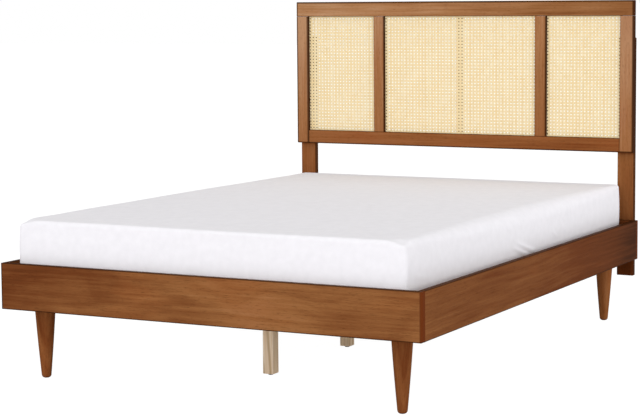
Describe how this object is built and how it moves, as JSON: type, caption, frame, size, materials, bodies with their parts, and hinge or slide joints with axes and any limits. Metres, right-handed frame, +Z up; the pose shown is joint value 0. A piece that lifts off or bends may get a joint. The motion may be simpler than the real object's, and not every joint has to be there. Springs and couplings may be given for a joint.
{
  "type": "cane headboard bed",
  "caption": "Low slatted wooden bed on turned tapered legs, with a framed cane-panel headboard carried on two rear posts, a mattress and a fitted sheet.",
  "frame": {"origin": "on the floor, under the middle of the bed's bounding box", "axes": "+Z up, +Y from the foot to the headboard, +X to the right seen from the foot"},
  "size_m": [1.59, 2.1302, 1.301],
  "materials": {
    "stained_wood": "satin warm brown stain with straight grain",
    "bare_pine": "planed, unfinished",
    "cane_webbing": "natural woven cane",
    "zinc_plated_steel": "zinc plated",
    "black_plastic": "moulded",
    "mattress_ticking": "quilted knit",
    "white_cotton": "plain woven, stretched"
  },
  "bodies": {
    "bed_frame": {"beam_bracket_foot": "zinc_plated_steel", "beam_bracket_head": "zinc_plated_steel", "cane_batten": "stained_wood", "cane_panel_centre": "cane_webbing", "cane_panel_left": "cane_webbing", "cane_panel_right": "cane_webbing", "centre_beam": "bare_pine", "centre_leg_1": "bare_pine", "centre_leg_2": "bare_pine", "centre_leg_3": "bare_pine", "corner_block_front_left": "bare_pine", "corner_block_front_right": "bare_pine", "corner_block_rear_left": "bare_pine", "corner_block_rear_right": "bare_pine", "foot_rail": "stained_wood", "head_rail": "stained_wood", "headboard_bottom_rail": "stained_wood", "headboard_middle_stile_left": "stained_wood", "headboard_middle_stile_right": "stained_wood", "headboard_stile_left": "stained_wood", "headboard_stile_right": "stained_wood", "headboard_top_rail": "stained_wood", "leg_front_left": "stained_wood", "leg_front_right": "stained_wood", "leg_rear_left": "stained_wood", "leg_rear_right": "stained_wood", "post_left": "stained_wood", "post_right": "stained_wood", "rail_bolt_left_lower": "zinc_plated_steel", "rail_bolt_left_upper": "zinc_plated_steel", "rail_bolt_right_lower": "zinc_plated_steel", "rail_bolt_right_upper": "zinc_plated_steel", "side_rail_left": "stained_wood", "side_rail_right": "stained_wood", "slat_01": "bare_pine", "slat_02": "bare_pine", "slat_03": "bare_pine", "slat_04": "bare_pine", "slat_05": "bare_pine", "slat_06": "bare_pine", "slat_07": "bare_pine", "slat_08": "bare_pine", "slat_09": "bare_pine", "slat_10": "bare_pine", "slat_11": "bare_pine", "slat_12": "bare_pine", "slat_ledger_left": "bare_pine", "slat_ledger_right": "bare_pine", "stile_bolt_left_lower": "zinc_plated_steel", "stile_bolt_left_upper": "zinc_plated_steel", "stile_bolt_right_lower": "zinc_plated_steel", "stile_bolt_right_upper": "zinc_plated_steel"},
    "mattress": {"mattress": "mattress_ticking", "fitted_sheet": "white_cotton"},
    "centre_glide_1": {"centre_glide_1": "black_plastic"},
    "centre_glide_2": {"centre_glide_2": "black_plastic"},
    "centre_glide_3": {"centre_glide_3": "black_plastic"}
  },
  "joints": [
    {"name": "mattress_lift", "type": "slide", "parent": "bed_frame", "child": "mattress", "axis": [0, 0, 1], "range_m": [0, 0.35]},
    {"name": "centre_glide_1_screw", "type": "slide", "parent": "bed_frame", "child": "centre_glide_1", "axis": [0, 0, -1], "range_m": [0, 0.012]},
    {"name": "centre_glide_2_screw", "type": "slide", "parent": "bed_frame", "child": "centre_glide_2", "axis": [0, 0, -1], "range_m": [0, 0.012]},
    {"name": "centre_glide_3_screw", "type": "slide", "parent": "bed_frame", "child": "centre_glide_3", "axis": [0, 0, -1], "range_m": [0, 0.012]}
  ]
}
